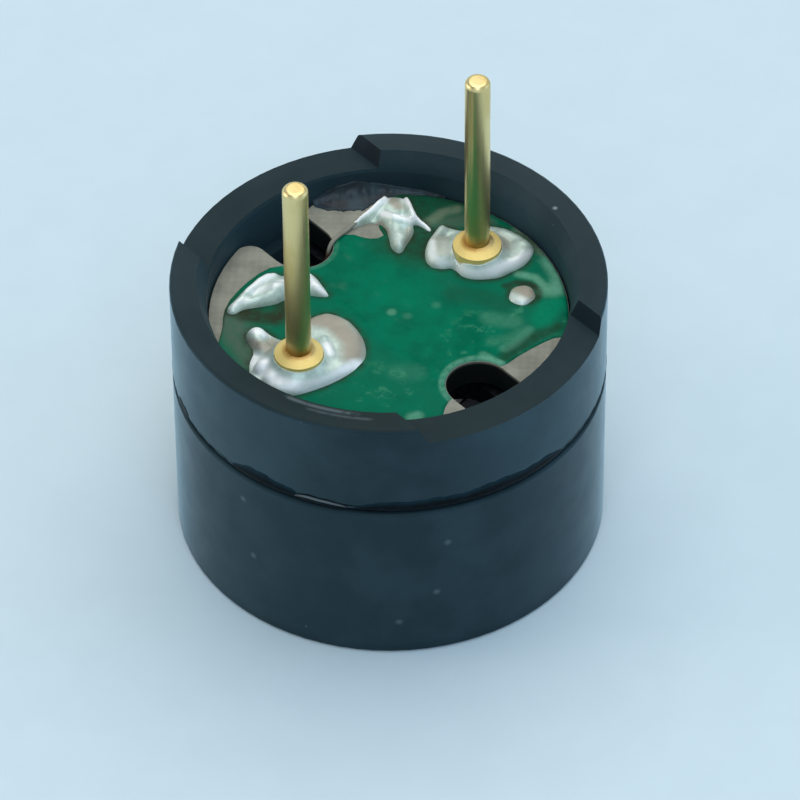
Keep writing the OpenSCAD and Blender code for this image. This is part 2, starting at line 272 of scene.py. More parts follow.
def housing_plastic(name, dark, light, roughness):
    """Satin moulded plastic: fine spark-eroded grain, faint handling marks and dust, with painted shade
    and painted light on the rim and wall.
    """
    s = Shader(name, IOR=1.5, Specular_IOR_Level=0.08, Sheen_Roughness=0.3, Sheen_Tint=SHEEN_TINT)
    grain = s.noise(18, 3, 0.6)
    s.colour = s.mix(s.ramp(s.noise(0.5, 3), 0.35, 0.65), dark, light)
    streaks = s.noise(1.6, 4, 0.6, stretch=(1, 1, 5))
    scuffs = s.ramp(streaks, 0.66, 0.78, 0.0, 0.35)
    s.tint(scuffs, SCUFF)
    x, y, z = s.axes()
    radius = s.math("SQRT", s.math("ADD", s.times(x, x), s.times(y, y)))
    turn = s.math("ARCTAN2", y, x)
    depth = s.along(x, y, AWAY)
    normal = s.normal()

    # The rim's top: painted shade, stronger towards the front, then pale bands, a pale nick, and a
    # dust-coloured painted light that grows towards the back
    over = s.ramp(z, *RIM_FROM)
    top = s.times(s.ramp(normal[2], 0.6, 0.9), over)
    front = s.ramp(depth, -5.4, -2.5, 0.62, 0.38)
    # Painted shade: the rim's top is darkened where it faces up, more towards the front
    s.tint(s.times(front, top), RIM_PAINTED_SHADE)
    for start, end, reach, width, share in RIM_PALE_BANDS:
        off = s.math("ABSOLUTE", s.math("SUBTRACT", radius, reach))
        begun = s.ramp(turn, start, start + BAND_FADE)
        there = s.times(begun, s.ramp(turn, end - BAND_FADE, end, 1.0, 0.0))
        band = s.times(s.ramp(off, 0.0, width, share, 0.0), there, s.ramp(z, 8.1, 8.4))
        s.tint(s.times(band, s.ramp(s.noise(2.5, 2), 0.3, 0.5)), DUST_AND_PAINTED_LIGHT)
    s.tint(s.times(s.spot(*RIM_MARK, 0.02, 0.1), over, 0.6), DUST_AND_PAINTED_LIGHT)
    # Painted light: the rim's top lightens in dust colour towards the back
    film = s.times(s.ramp(depth, -4.0, 5.0, 0.0, 0.035), s.ramp(z, 7.9, 8.3))
    s.tint(film, DUST_AND_PAINTED_LIGHT)

    # The wall: painted sheen towards the sides of the upper shell, and painted shade on the faces of the
    # rim's steps
    side = s.math("ABSOLUTE", s.along(x, y, RIGHTWARD))
    upper = s.times(s.ramp(z, 5.1, 5.7), s.ramp(normal[2], 0.2, 0.5, 1.0, 0.0))
    # Painted sheen: the upper shell lightens towards its left and right sides
    s.tint(s.times(s.ramp(side, 0.8, 3.8, 0.0, 0.06), upper), WALL_PAINTED_SHEEN)
    outward = s.math("ADD", s.times(normal[0], x), s.times(normal[1], y))
    outward = s.math("ABSOLUTE", s.math("DIVIDE", outward, radius))
    facing = s.math("MAXIMUM", outward, normal[2])
    # Painted shade on the side faces of the rim's steps
    step = s.times(s.ramp(facing, 0.55, 0.75, 1.0, 0.0), s.ramp(turn, -1.6, -1.4))
    s.tint(s.times(step, s.ramp(z, 7.95, 8.05, 0.0, 0.8)), STEP_AND_FOOT_SHADE)
    for azimuth, height in WALL_SPECKS:
        at_x, at_y, at_z = around(WALL_R, radians(azimuth), height)
        s.tint(s.times(s.spot(at_x, at_y, 0.0, 0.15, at_z), 0.18), DUST_AND_PAINTED_LIGHT)
    s.set(Sheen_Weight=s.ramp(radius, 5.5, 5.8, 0.0, 0.62))
    # Painted shade: the wall darkens towards the floor
    s.tint(s.ramp(z, 0.0, 0.45, 0.35, 0.0), STEP_AND_FOOT_SHADE)

    dust = s.math("MAXIMUM", s.specks(2.2, 0.05, 0.03), s.specks(5.0, 0.08, 0.01))
    s.tint(s.times(dust, 0.7), DUST_AND_PAINTED_LIGHT)
    rough = s.ramp(s.noise(1.2, 3), 0.3, 0.7, roughness - 0.05, roughness + 0.06)
    rough = s.math("ADD", rough, s.times(scuffs, 0.3))
    return s.finish(rough, s.bump(dust, 0.01, s.bump(grain, 0.004)))


def plain(name, dark, light, low, high, grain=6.0, relief=0.004, **values):
    """An even finish: one noise mixes two colours, and roughness from low to high."""
    s = Shader(name, **values)
    cloud = s.noise(grain, 4)
    s.colour = s.mix(s.ramp(cloud, 0.3, 0.7), dark, light)
    return s.finish(s.ramp(cloud, 0.3, 0.7, low, high), s.bump(cloud, relief))


def seam_filler():
    """Black adhesive of the joint, worn to the plastic's colour where it is a thin film, with a painted
    highlight on one smear.
    """
    s = Shader("adhesive", IOR=1.5, Specular_IOR_Level=0.05)
    cloud = s.noise(2.5, 4)
    s.colour = s.mix(s.ramp(cloud, 0.3, 0.7), srgb(2, 10, 14), srgb(7, 19, 25))
    thin = s.times(s.painted("thin"), s.ramp(s.noise(4, 4), 0.3, 0.6, 0.6, 1.0))
    s.tint(thin, srgb(20, 45, 55))
    # Painted highlight along the ledge of one smear
    s.tint(s.painted("painted_glint"), DUST_AND_PAINTED_LIGHT)
    return s.finish(s.ramp(cloud, 0.3, 0.7, 0.3, 0.4), s.bump(cloud, 0.002))


def laminate():
    """Bare glass laminate: a fine weave on top, dark and fibrous on its cut edges."""
    s = Shader("board", IOR=1.5, Specular_IOR_Level=0.3)
    x, y, z = s.axes()
    warp = s.math("SINE", s.times(x, WEAVE))
    weft = s.math("SINE", s.times(y, WEAVE))
    weave = s.times(warp, weft)
    s.colour = s.mix(s.ramp(s.noise(1.5, 4), 0.3, 0.7), srgb(124, 124, 112), srgb(146, 146, 132))
    s.tint(s.ramp(weave, -0.6, 0.8, 0.0, 0.12), srgb(166, 166, 152))
    edge = s.ramp(z, BOARD_TOP - 0.12, BOARD_TOP - 0.01, 1.0, 0.0)
    s.tint(edge, s.mix(s.noise(9, 3, stretch=(1, 1, 4)), srgb(7, 14, 13), srgb(20, 29, 26)))
    return s.finish(0.55, s.bump(weave, 0.004))


def solder_mask():
    """Glossy green mask over copper: mottled where flux has dried, duller at the sides, with painted
    shade, a painted shadow and painted highlights.
    """
    s = Shader("solder_mask", IOR=1.5, Specular_IOR_Level=0.02)
    x, y, _ = s.axes()
    mottle = s.noise(1.1, 5, 0.6)
    fine = s.noise(5, 4, 0.6)
    s.colour = s.mix(s.ramp(mottle, 0.35, 0.65), srgb(0, 100, 73), srgb(0, 113, 83))
    side = s.ramp(s.math("ABSOLUTE", s.math("SUBTRACT", x, 0.4)), 1.0, 1.9)
    s.tint(s.times(side, s.ramp(s.noise(0.9, 4), 0.35, 0.6, 0.35, 1.0)), srgb(12, 106, 79))
    film = s.ramp(s.noise(2.3, 4, 0.62), 0.56, 0.72, 0.0, 0.55)
    s.tint(s.times(film, s.ramp(y, -0.9, -2.0)), srgb(70, 146, 112))
    residue = s.ramp(s.noise(1.7, 4, stretch=(1.3, 0.8, 1)), 0.6, 0.75, 0.0, 0.3)
    s.tint(residue, srgb(60, 128, 98))
    for *at, share in MASK_SPECKS:
        s.tint(s.times(s.spot(*at, 0.04, 0.2), share), srgb(120, 180, 150))
    # Painted shade by the wall and round the plated hole, painted shadow between the left solder pieces,
    # painted highlights along edges
    for finish, tint in MASK_FINISHES.items():
        s.tint(s.times(s.painted(finish), s.ramp(fine, 0.3, 0.6, 0.7, 1.0)), tint)
    for at, inner, outer, share in MASK_HIGHLIGHT_RINGS:
        disc, hole = (s.spot(*at, radius - RING_EDGE, radius) for radius in (outer, inner))
        # Painted highlight where the mask climbs over the copper's edge
        ring = s.times(s.math("MAXIMUM", s.math("SUBTRACT", disc, hole), 0.0), share)
        s.tint(s.times(ring, s.ramp(fine, 0.3, 0.6, 0.4, 1.0)), srgb(104, 164, 138))
    flux = s.times(s.painted("flux"), s.ramp(s.noise(3.5, 3), 0.3, 0.6, 0.3, 0.85))
    s.tint(flux, FLUX)
    return s.finish(s.ramp(mottle, 0.3, 0.7, 0.22, 0.4), s.bump(fine, 0.006))


def solder():
    """Tin solder: painted highlights where its ridges catch the light, smoother there, grey and grainy
    where flux dulled it.
    """
    s = Shader("solder")
    cloud = s.noise(3.2, 5, 0.6)
    grain = s.noise(14, 4, 0.6)
    painted_highlight = s.times(s.painted("painted_highlight"), s.ramp(cloud, 0.25, 0.5, 0.75, 1.0))
    dull = s.painted("dull")
    s.colour = s.mix(s.ramp(cloud, 0.35, 0.7), srgb(204, 223, 213), srgb(174, 194, 184))
    s.tint(s.ramp(s.noise(2.6, 4, 0.65), 0.6, 0.72, 0.0, 0.3), srgb(120, 118, 104))
    s.tint(dull, srgb(166, 161, 146))
    # Painted highlight: near-white on the ridges that face the light
    s.tint(painted_highlight, srgb(248, 252, 252))
    rough = s.ramp(cloud, 0.3, 0.7, 0.43, 0.56)
    rough = s.math("ADD", rough, s.times(dull, 0.15))
    rough = s.math("SUBTRACT", rough, s.times(painted_highlight, 0.06))
    s.set(Metallic=s.ramp(painted_highlight, 0.0, 1.0, 0.42, 0.16))
    return s.finish(rough, s.bump(grain, 0.006))


def pin_plating():
    """Brass-coloured plating with drawing lines, a painted lit side low on the pin, and painted brownish
    shade where the pin leaves its collar.
    """
    s = Shader("pin_plating")
    z = s.axes()[2]
    cloud = s.noise(1.2, 4, stretch=(1, 1, 0.35))
    lines = s.noise(9, 3, stretch=(1.5, 1.5, 0.08))
    s.colour = s.mix(s.ramp(cloud, 0.35, 0.7), srgb(236, 216, 156), srgb(222, 198, 132))
    normal = s.normal()
    leftward = s.along(normal[0], normal[1], LEFTWARD)
    # Painted light: the pin's left-facing side is paler low on the pin
    lit_side = s.times(s.ramp(z, 8.0, 8.6, 0.8, 0.0), s.ramp(leftward, -0.3, 0.5))
    collar = s.ramp(z, *COLLAR_END, 1.0, 0.0)
    s.tint(lit_side, srgb(240, 196, 96))
    s.tint(collar, srgb(246, 218, 134))
    near = s.math("MAXIMUM", s.spot(-PIN_X, 0, *PIN_NEAR), s.spot(PIN_X, 0, *PIN_NEAR))
    above = s.times(s.ramp(z, 7.6, 7.75), near)
    # Painted shade: brownish darkening on the pin just above its collar
    root = s.ramp(z, 7.95, 8.35, 1.0, 0.0)
    brown = s.times(root, above, s.ramp(s.noise(2.2, 2), 0.35, 0.55, 0.35, 0.8))
    s.tint(brown, srgb(156, 104, 30))
    s.set(Metallic=s.ramp(s.math("MAXIMUM", collar, lit_side), 0.0, 1.0, 1.0, 0.4))
    return s.finish(s.ramp(cloud, 0.3, 0.7, 0.3, 0.42), s.bump(lines, 0.004))


def wire_enamel():
    """Copper wire in brown enamel, its ends tinned and grey with flux over the board."""
    s = Shader("enamelled_wire", Coat_Roughness=0.15)
    cloud = s.noise(4, 3)
    s.colour = s.mix(cloud, srgb(92, 72, 52), srgb(124, 100, 74))
    tinned = s.ramp(s.axes()[2], BOARD_TOP - 0.25, BOARD_TOP)
    s.tint(tinned, s.mix(cloud, srgb(120, 120, 108), srgb(140, 140, 126)))
    bare = s.math("SUBTRACT", 1.0, tinned)
    s.set(Metallic=s.times(bare, 0.6), Coat_Weight=s.times(bare, 0.5))
    return s.finish(s.ramp(tinned, 0.0, 1.0, 0.35, 0.6), s.bump(cloud, 0.003))


PLASTIC = {"IOR": 1.5, "Specular_IOR_Level": 0.5}
METAL = {"Metallic": 1.0}
MATERIALS = {
    "ring_plastic": housing_plastic("ring_plastic", srgb(30, 48, 55), srgb(37, 56, 64), 0.47),
    "cap_plastic": housing_plastic("cap_plastic", srgb(31, 50, 57), srgb(38, 58, 66), 0.44),
    "adhesive": seam_filler(),
    "spring_steel": plain("spring_steel", srgb(150, 154, 158), srgb(190, 192, 195), 0.25, 0.38, **METAL),
    "soft_iron": plain("soft_iron", srgb(30, 32, 35), srgb(52, 55, 59), 0.55, 0.68, **METAL),
    "ferrite": plain("ferrite", srgb(40, 40, 43), srgb(62, 62, 66), 0.55, 0.66, **PLASTIC),
    "bobbin_plastic": plain(
        "bobbin_plastic", srgb(205, 200, 180), srgb(222, 218, 200), 0.45, 0.56, **PLASTIC
    ),
    "enamelled_wire": wire_enamel(),
    "board": laminate(),
    "pin_plating": pin_plating(),
    "solder": solder(),
}
SOLDER_MASK = solder_mask()
POCKET_ADHESIVE = plain(
    "pocket_adhesive", srgb(18, 32, 40), srgb(48, 68, 78), 0.35, 0.46, 1.3, 0.006,
    IOR=1.5, Specular_IOR_Level=0.28
)

for part in nodes.values():
    for place in part.material_slots:
        place.material = MATERIALS[place.material.name.split(".")[0]]


# ------------ sculpting

VIEW_SHIFT = np.array([0.676, 0.778])   # mm that a point seems moved, for each mm of height
SHARPNESS = 5.0             # of the corners between mounds
SOLDER_STEP = 0.05          # mm, between the solder's vertices
FILM = 0.012                # mm, thickness of the solder's very edge


def seat(x, y, height):
    """True place of a point that stands that high, from where the photograph shows it."""
    return (x, y) - height * VIEW_SHIFT


def spline(a, b, c, d, t):
    """The point at t, from 0 to 1, of the smooth curve from b to c."""
    return 0.5 * (2 * b + (c - a) * t + (2 * a - 5 * b + 4 * c - d) * t ** 2
                  + (3 * b - a - 3 * c + d) * t ** 3)


def smooth_loop(points, spacing=0.05):
    """A closed curve through the points, as even short steps."""
    p = np.array(points, float)
    dense = []
    for i in range(len(p)):
        a, b, c, d = p[i - 1], p[i], p[(i + 1) % len(p)], p[(i + 2) % len(p)]
        steps = max(2, int(np.linalg.norm(c - b) / spacing))
        dense += [spline(a, b, c, d, t) for t in np.arange(steps) / steps]
    return np.array(dense)


def to_segment(points, a, b):
    """Each point's distance from the segment a to b, and its share of the way."""
    way = np.subtract(b, a)
    t = np.clip((points - a) @ way / max(way @ way, 1e-12), 0, 1)
    return np.linalg.norm(points - a - t[:, None] * way, axis=1), t


def line_distance(points, line):
    """Distance from each point to a line of straight pieces."""
    best = np.full(len(points), 1e9)
    for a, b in zip(line, line[1:]):
        best = np.minimum(best, to_segment(points, a, b)[0])
    return best


def loop_distance(points, loop):
    """Distance from each point to the loop."""
    return line_distance(points, [*loop, loop[0]])


def within(points, loop):
    """Which points lie inside the loop."""
    odd = np.zeros(len(points), bool)
    x, y = points[:, 0], points[:, 1]
    for a, b in zip(loop, np.roll(loop, -1, axis=0)):
        if a[1] == b[1]:
            continue
        crosses = (a[1] > y) != (b[1] > y)
        odd ^= crosses & (x < (b[0] - a[0]) * (y - a[1]) / (b[1] - a[1]) + a[0])
    return odd


def lumps(x, y, z, octaves=4, rough=0.8):
    """Soft random relief at one place, from about -1 to 1."""
    return noise.fractal(Vector((x, y, z)), rough, 2.0, octaves)


def rumple(points, size, seed, octaves=3):
    """The same relief at each point, with lumps of that size in mm."""
    return np.array([lumps(x / size + seed, y / size, seed * 0.37, octaves) for x, y in points])


def ridge(points, width, *route):
    """A long mound along a route of x, y, height as the photograph shows its crest."""
    crest = [(seat(x, y, height), height) for x, y, height in route]
    best = np.zeros(len(points))
    for (a, low), (b, high) in zip(crest, crest[1:]):
        off, t = to_segment(points, a, b)
        best = np.maximum(best, (low + (high - low) * t) * np.clip(1 - (off / width) ** 2, 0, 1))
    return best


def mound(points, x, y, height, reach_x, reach_y, turn=0.0):
    """A round mound whose top the photograph shows at x, y."""
    away = points - seat(x, y, height)
    c, s = cos(radians(turn)), sin(radians(turn))
    u = (away @ (c, s)) / reach_x
    v = (away @ (-s, c)) / reach_y
    return height * np.sqrt(np.clip(1 - u * u - v * v, 0, 1))


def cone(points, centre, inner, outer, height):
    """Solder drawn up a collar, hollow towards the board."""
    away = np.linalg.norm(points - centre, axis=1)
    t = np.clip((outer - away) / (outer - inner), 0, 1)
    return height * t ** 1.5


def heap(points, floor, layers):
    """The highest of several layers, with the corners between them rounded."""
    heights = [np.full(len(points), floor)] + [shape(points, *values) for shape, *values in layers]
    return sum(np.maximum(each, 0) ** SHARPNESS for each in heights) ** (1 / SHARPNESS)


def make_object(name, verts, faces, slot, material=None):
    """A smooth object on the root body, from vertices in millimetres."""
    mesh = bpy.data.meshes.new(name)
    mesh.from_pydata([tuple(float(c) * MM for c in v) for v in verts], [], faces)
    mesh.materials.append(material or MATERIALS[slot])
    mesh.shade_smooth()
    piece = add(name, mesh)
    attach(piece, "root")
    return piece


def tube(rings, size, base=0, closed=False):
    """Faces between rings of vertices, capped at both ends or closed to a loop."""
    faces = []
    for i in range(rings if closed else rings - 1):
        for j in range(size):
            a, b = i * size + j, i * size + (j + 1) % size
            c, d = (k + size if i < rings - 1 else k % size for k in (b, a))
            faces.append((a, d, c, b))
    if not closed:
        faces.append(tuple(range(size)))
        faces.append(tuple((rings - 1) * size + j for j in reversed(range(size))))
    return [tuple(base + k for k in face) for face in faces]


def flipped(faces):
    """The same faces, seen from the other side."""
    return [(face[0], *face[:0:-1]) for face in faces]


def sheet(name, loop, height, step, slot, material=None, rims=(0.02, 0.05, 0.09), holes=()):
    """A closed plate on the board: height(points, edge distance) shapes its upper face."""
    loops = [loop, *holes]

    def on_plate(points):
        keep = within(points, loop)
        for hole in holes:
            keep &= ~within(points, hole)
        return keep

    def from_edge(points):
        return np.min([loop_distance(points, line) for line in loops], axis=0)

    low, high = loop.min(axis=0), loop.max(axis=0)
    xs = np.arange(low[0], high[0], step)
    ys = np.arange(low[1], high[1], step * 0.866)
    grid = np.array([(x + (row % 2) * step / 2, y) for row, y in enumerate(ys) for x in xs])
    grid = grid[on_plate(grid)]
    points = [*loops, grid[from_edge(grid) > rims[-1] + step * 0.4]]
    for line in loops:
        way = np.roll(line, -1, axis=0) - np.roll(line, 1, axis=0)
        normal = np.stack([-way[:, 1], way[:, 0]], axis=1)
        normal /= np.linalg.norm(normal, axis=1)[:, None]
        for inset in rims:
            for side in (1, -1):
                moved = line + side * inset * normal
                moved = moved[on_plate(moved)]
                if len(moved):
                    points.append(moved[from_edge(moved) > inset * 0.93])
    edges = []
    start = 0
    for line in loops:
        count = len(line)
        edges += [(start + i, start + (i + 1) % count) for i in range(count)]
        start += count
    flat = [Vector(p) for p in np.concatenate(points)]
    corners, _, triangles = geometry.delaunay_2d_cdt(flat, edges, [], 0, 1e-7)[:3]
    spots = np.array([tuple(v) for v in corners])
    middle = np.array([spots[list(f)].mean(axis=0) for f in triangles])
    faces = [tuple(f) for f, ok in zip(triangles, on_plate(middle)) if ok]
    tops = BOARD_TOP + height(spots, from_edge(spots))
    count = len(spots)
    verts = [(*p, z) for p, z in zip(spots, tops)] + [(*p, BOARD_TOP) for p in spots]
    border = dict.fromkeys((a, b) for face in faces for a, b in zip(face, face[1:] + face[:1]))
    sides = [(b, a, a + count, b + count) for a, b in border if (b, a) not in border]
    under = [tuple(i + count for i in reversed(face)) for face in faces]
    used = sorted({i for face in faces + sides + under for i in face})
    index = {old: new for new, old in enumerate(used)}
    every = [tuple(index[i] for i in face) for face in faces + sides + under]
    return make_object(name, [verts[i] for i in used], every, slot, material)


def lip(distance, width):
    """A round edge: 0 at the outline, 1 from that width inwards."""
    t = np.clip(distance / width, 0, 1)
    return np.sqrt(1 - (1 - t) ** 2)


def vertices(piece):
    """Positions of the piece's vertices, in millimetres."""
    return np.array([v.co for v in piece.data.vertices]) / MM


def store(piece, name, values):
    """Paint a finish on the piece: one value for each vertex."""
    piece.data.attributes.new(name, "FLOAT", "POINT").data.foreach_set("value", values)


def stroke(points, route, width):
    """1 along a route, fading to 0 at that distance from it."""
    t = np.clip(1.3 * (1 - line_distance(points, route) / width), 0, 1)
    return t * t * (3 - 2 * t)


def paint(piece, finishes):
    """Paint strokes of width, share and route, as the photograph shows them."""
    spots = vertices(piece)
    seen = spots[:, :2] + (spots[:, 2:] - BOARD_TOP) * VIEW_SHIFT
    for name, strokes in finishes.items():
        value = [share * stroke(seen, route, width) for width, share, *route in strokes]
        store(piece, name, np.max(value, axis=0))


# ------------ solder

# Painted highlights on the solder, and where flux dulled it: width, share, route
SOLDER_FINISHES = {"painted_highlight": [
    (0.3, 0.95, (-3.16, 2.08), (-2.97, 1.69)),
    (0.24, 0.95, (-3.76, 0.93), (-3.77, 0.82)),
    (0.38, 0.9, (-3.94, 1.26), (-4.03, 0.17), (-3.89, -0.32), (-3.61, -0.73), (-2.84, -0.95),
     (-2.02, -0.92)),
    (0.2, 0.85, (-2.05, 0.22), (-2.2, -0.1)),
    (0.2, 0.8, (-3.88, -0.31), (-3.05, -0.82)),
    (0.2, 0.9, (-1.3, 3.37), (-1.9, 3.36), (-2.23, 3.36)),
    (0.18, 0.7, (-2.16, 3.11), (-1.35, 2.93)),
    (0.28, 0.9, (-0.61, 2.75), (-0.69, 2.28), (-0.7, 1.75)),
    (0.18, 0.6, (-3.06, 3.14), (-2.52, 3.07)),
    (0.17, 1.0, (1.7, 3.48), (2.37, 3.54), (3.04, 3.6)),
    (0.19, 0.9, (2.58, 3.2), (2.71, 2.92), (2.86, 2.72), (3.06, 2.33)),
    (0.16, 1.0, (3.42, 3.26), (3.39, 2.93), (3.21, 2.49), (3.13, 2.26), (3.12, 1.85)),
    (0.19, 0.15, (2.29, 2.41), (2.19, 2.1), (1.94, 1.73)),
    (0.22, 0.6, (2.77, 1.39), (2.44, 0.98), (2.4, 0.52), (2.68, 0.37)),
    (0.3, 0.95, (2.68, 0.03), (2.83, -0.37), (3.3, -0.67)),
    (0.34, 0.9, (2.93, -0.47), (3.4, -0.64), (3.9, -0.77), (4.5, -0.8)),
    (0.22, 0.3, (2.97, -1.68), (3.07, -1.9), (3.16, -2.16)),
], "dull": [
    (0.24, 0.9, (3.14, 3.41), (3.08, 3.11)),
    (0.2, 1.0, (2.23, 2.92), (2.12, 2.56)),
    (0.16, 0.6, (2.71, 2.24), (2.23, 1.77)),
    (0.55, 1.0, (-1.66, 1.35), (-1.34, 0.78), (-1.43, -0.15), (-1.77, -0.55)),
    (0.34, 0.9, (-3.57, 1.64), (-3.37, 1.22), (-3.16, 1.28)),
    (0.4, 0.5, (3.06, 1.33), (2.79, 0.87)),
    (0.36, 1.0, (3.35, -1.5), (3.45, -1.95)),
    (0.5, 0.8, (3.9, 0.6), (4.2, 0.1)),
]}

COLLAR_R = 0.67             # mm
COLLAR_GAP = 0.02           # mm, between collar and solder
SOLDER_RISE = 0.55          # mm, up the collar
CONE_R = 1.35               # mm, where the solder of a collar ends on the board
ROUND_STEPS = 48            # vertices round a hole


def round_hole(x, y, radius):
    """Points on a circle."""
    turns = [2 * pi * i / ROUND_STEPS for i in range(ROUND_STEPS)]
    return np.array([(x + radius * cos(t), y + radius * sin(t)) for t in turns])


def solder_piece(name, loop, height, node, holes=()):
    """Solder frozen on the board within the loop, in place of a CAD node."""
    piece = sheet(name, loop, height, SOLDER_STEP, "solder", holes=holes)
    paint(piece, SOLDER_FINISHES)
    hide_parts(node)


def coil_piece(name, outline, layers, node, seed, width=0.2):
    """Solder over a coil end, from its outline and the mounds and ridges on it."""
    def height(points, distance):
        body = heap(points, 0.06, layers)
        body = body * (1 + 0.05 * rumple(points, 0.25, seed))
        body += 0.015 * rumple(points, 0.6, seed + 5)
        return FILM + np.maximum(body, 0.03) * lip(distance, width)

    solder_piece(name, smooth_loop(outline), height, node)


def joint_piece(name, x, outline, layers, node, seed):
    """Solder round a collar: a closed plate with the collar's hole in it."""
    loop = smooth_loop(outline)

    def height(points, distance):
        body = heap(points, 0.08, [(cone, (x, 0), COLLAR_R, CONE_R, SOLDER_RISE), *layers])
        body += 0.012 * rumple(points, 0.6, seed + 5)
        near = np.linalg.norm(points - (x, 0), axis=1)
        calm = np.clip((near - COLLAR_R) / 0.3, 0, 1)
        body = calm * body + (1 - calm) * np.minimum(body, SOLDER_RISE)
        return FILM + np.maximum(body, 0.03) * lip(loop_distance(points, loop), 0.24)

    solder_piece(name, loop, height, node, [round_hole(x, 0, COLLAR_R + COLLAR_GAP)])


# Mounds: x, y, height, two reaches, turn. Ridges: width, then a route of x, y, height
LEFT_JOINT_LAYERS = [
    (mound, -1.85, 0.45, 0.36, 1.15, 1.2),
    (ridge, 0.4, (-1.3, -0.1, 0.2), (-1.15, 0.55, 0.3), (-1.35, 1.05, 0.3), (-1.8, 1.2, 0.28)),
    (ridge, 0.6, (-3.9, 0.0, 0.3), (-3.65, -0.3, 0.32), (-3.3, -0.55, 0.34), (-2.8, -0.68, 0.35),
             (-2.3, -0.5, 0.32)),
    (ridge, 0.22, (-2.35, -0.35, 0.28), (-2.2, -0.1, 0.4), (-1.95, 0.45, 0.4)),
    (mound, -2.12, 0.05, 0.36, 0.16, 0.3),
    (mound, -3.95, 0.35, 0.34, 0.28, 0.24),
    (mound, -3.8, 0.87, 0.36, 0.3, 0.24),
    (mound, -3.35, 1.42, 0.3, 0.28, 0.3),
    (mound, -3.15, 1.92, 0.36, 0.36, 0.34),
]

RIGHT_JOINT_LAYERS = [
    (mound, 2.95, 1.0, 0.42, 0.72, 0.6, 35),
    (ridge, 0.26, (2.35, 0.75, 0.2), (2.5, 1.2, 0.3), (2.95, 1.55, 0.34), (3.45, 1.75, 0.26)),
    (ridge, 0.6, (2.8, -0.05, 0.3), (2.95, -0.45, 0.34), (3.5, -0.72, 0.36), (4.1, -0.7, 0.34),
             (4.6, -0.4, 0.3)),
    (mound, 2.85, -0.1, 0.38, 0.3, 0.3),
    (ridge, 0.35, (4.6, 0.4, 0.2), (4.75, 0.0, 0.24), (4.7, -0.3, 0.24)),
]

LEFT_COIL_LAYERS = [
    (ridge, 0.3, (-3.15, 3.12, 0.16), (-2.7, 3.2, 0.3), (-2.2, 3.42, 0.36), (-1.7, 3.48, 0.36),
             (-1.3, 3.42, 0.26)),
    (ridge, 0.42, (-2.95, 2.98, 0.2), (-2.5, 2.9, 0.28), (-2.0, 2.75, 0.34), (-1.55, 2.9, 0.4)),
    (ridge, 0.4, (-1.55, 2.9, 0.4), (-1.2, 2.55, 0.3), (-0.9, 2.3, 0.3)),
    (ridge, 0.26, (-0.6, 2.78, 0.24), (-0.68, 2.35, 0.36), (-0.78, 1.85, 0.26)),
    (mound, -1.7, 3.0, 0.26, 0.7, 0.6),
]

RIGHT_COIL_LAYERS = [
    (ridge, 0.17, (1.75, 3.45, 0.24), (2.0, 3.48, 0.3), (2.4, 3.56, 0.34), (2.8, 3.64, 0.36),
             (3.05, 3.67, 0.34)),
    (ridge, 0.26, (2.65, 3.2, 0.34), (2.75, 2.95, 0.46), (2.9, 2.6, 0.42), (3.1, 2.45, 0.36)),
    (ridge, 0.2, (3.1, 2.45, 0.36), (3.28, 2.78, 0.44), (3.52, 3.22, 0.36)),
    (ridge, 0.2, (3.12, 2.4, 0.32), (3.12, 1.95, 0.14)),
    (ridge, 0.36, (2.7, 2.9, 0.3), (2.4, 2.35, 0.32), (2.0, 1.85, 0.3)),
    (ridge, 0.2, (1.95, 1.75, 0.24), (2.4, 2.0, 0.28), (2.8, 2.25, 0.24)),
    (mound, 3.05, 3.35, 0.24, 0.6, 0.45),
]

# Outlines of the solder on the board
JOINT_LEFT = [
    (-4.6, 0.1), (-4.45, -0.35), (-4.1, -0.72), (-3.65, -0.9), (-3.1, -1.04), (-2.5, -1.1), (-2.0, -1.05),
    (-1.6, -0.88), (-1.27, -0.45), (-1.1, 0.05), (-1.05, 0.5), (-1.1, 0.85), (-1.3, 1.1), (-1.6, 1.22),
    (-2.0, 1.2), (-2.5, 1.08), (-2.85, 1.12), (-2.98, 1.45), (-3.0, 1.8), (-3.2, 2.02), (-3.5, 1.95),
    (-3.68, 1.65), (-3.78, 1.32), (-4.15, 1.05), (-4.45, 0.7), (-4.6, 0.4)
]

JOINT_RIGHT = [
    (2.5, 0.0), (2.48, -0.25), (2.62, -0.52), (2.9, -0.77), (3.2, -0.95), (3.6, -1.02), (4.0, -1.06),
    (4.4, -0.95), (4.7, -0.74), (4.78, -0.45), (4.76, 0.0), (4.66, 0.45), (4.4, 0.82), (4.0, 1.05),
    (3.7, 1.2), (3.5, 1.55), (3.3, 1.66), (3.0, 1.55), (2.7, 1.42), (2.4, 1.22), (2.16, 0.92),
    (2.1, 0.6), (2.25, 0.36), (2.46, 0.2)
]

COIL_LEFT = [
    (-3.32, 2.92), (-3.2, 3.08), (-2.85, 3.16), (-2.5, 3.22), (-2.2, 3.28), (-1.95, 3.33), (-1.65, 3.36),
    (-1.4, 3.27), (-1.2, 3.1), (-0.95, 2.9), (-0.62, 2.62), (-0.55, 2.42), (-0.62, 2.1), (-0.7, 1.8),
    (-0.8, 1.62), (-1.0, 1.75), (-1.2, 1.98), (-1.5, 2.12), (-1.8, 2.28), (-2.05, 2.32), (-2.35, 2.46),
    (-2.65, 2.62), (-2.9, 2.74), (-3.2, 2.78)
]

